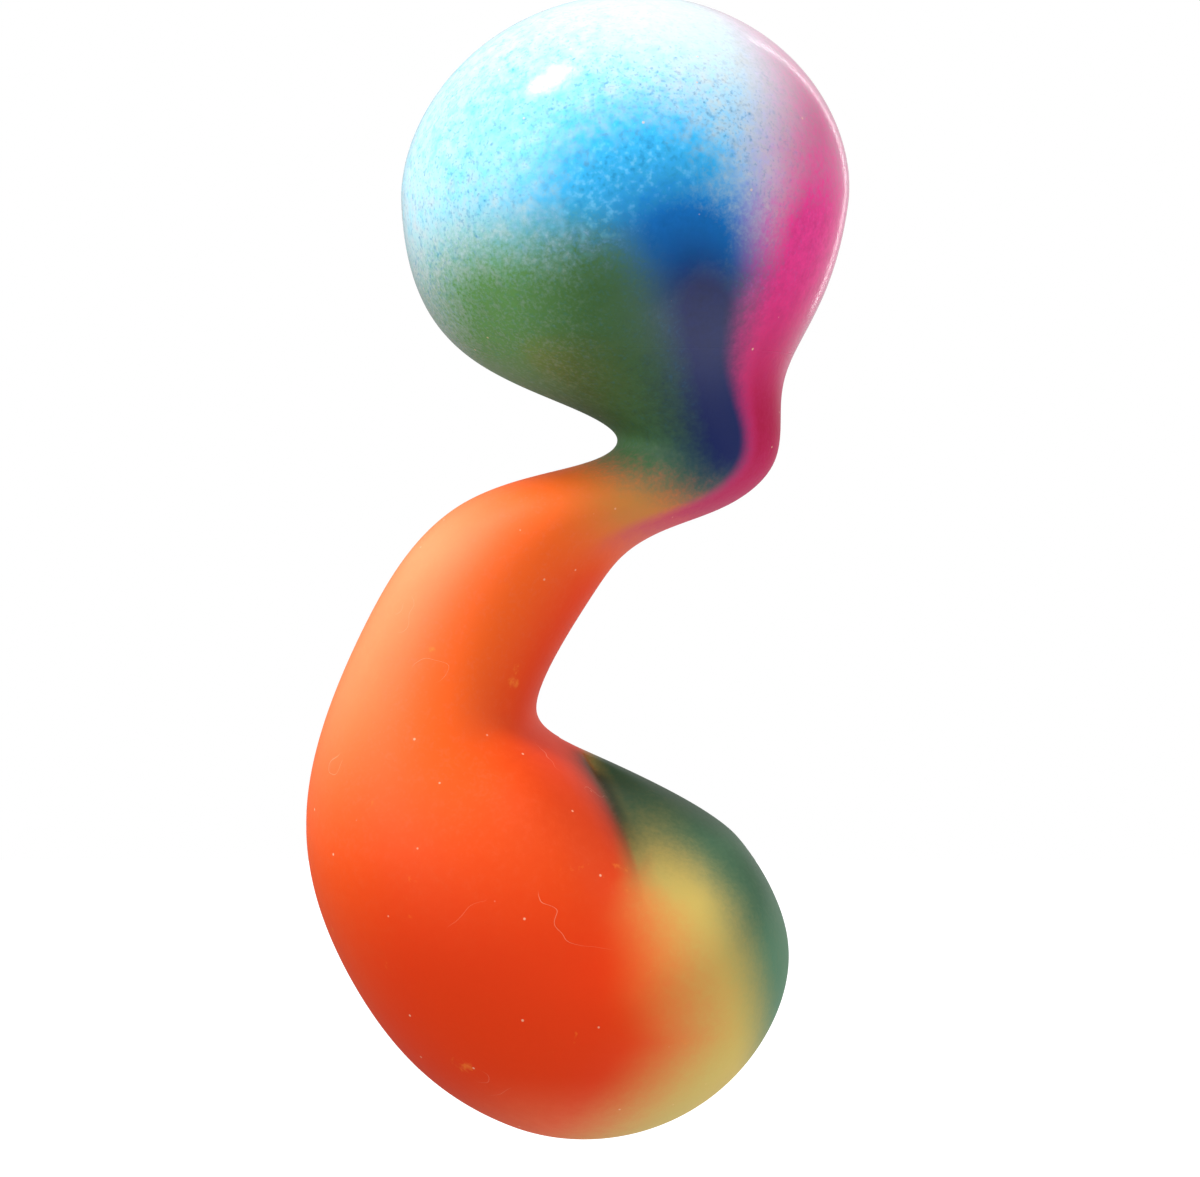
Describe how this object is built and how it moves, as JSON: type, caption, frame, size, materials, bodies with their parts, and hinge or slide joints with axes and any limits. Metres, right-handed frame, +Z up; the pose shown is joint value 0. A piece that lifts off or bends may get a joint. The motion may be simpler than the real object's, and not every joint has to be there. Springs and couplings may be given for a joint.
{
  "type": "squeeze ball",
  "caption": "Soft rainbow squeeze ball in its squeezed shape: a round upper bulge, a pinched neck and a curved lower bulge, with a dough filling and a fill plug.",
  "frame": {"origin": "centre of the pinched neck, where a thumb and fingers hold the ball", "axes": "+Z up through the upper bulge, +X towards the side that the tail curls to, +Y away from the side that the thumb presses"},
  "size_m": [0.0723, 0.0573, 0.1521],
  "materials": {
    "painted_skin": "soft rubber, sprayed in rainbow colours that run from blue and pink at the top through orange to yellow and green at the tail",
    "dough": "soft cream dough, dull and slightly grainy",
    "plug_rubber": "clear to milky soft rubber, satin"
  },
  "bodies": {
    "held_middle": {"skin": "painted_skin", "neck_filling": "dough", "arm_filling": "dough", "waist_filling": "dough"},
    "upper_bulge": {"upper_filling": "dough", "fill_plug": "plug_rubber"},
    "lower_bulge": {"lower_filling": "dough"}
  },
  "joints": [
    {"name": "upper_bend", "type": "hinge", "parent": "held_middle", "child": "upper_bulge", "pos_m": [0.0015, 0, 0.0005], "axis": [0, 1, 0], "range_deg": [-14, 14], "stiffness_Nm_per_rad": 0.6, "deforming": ["neck_filling", "skin"]},
    {"name": "lower_bend", "type": "hinge", "parent": "held_middle", "child": "lower_bulge", "pos_m": [-0.0345, 0, -0.0365], "axis": [0, 1, 0], "range_deg": [-9, 9], "stiffness_Nm_per_rad": 0.8, "deforming": ["waist_filling", "skin"]}
  ]
}
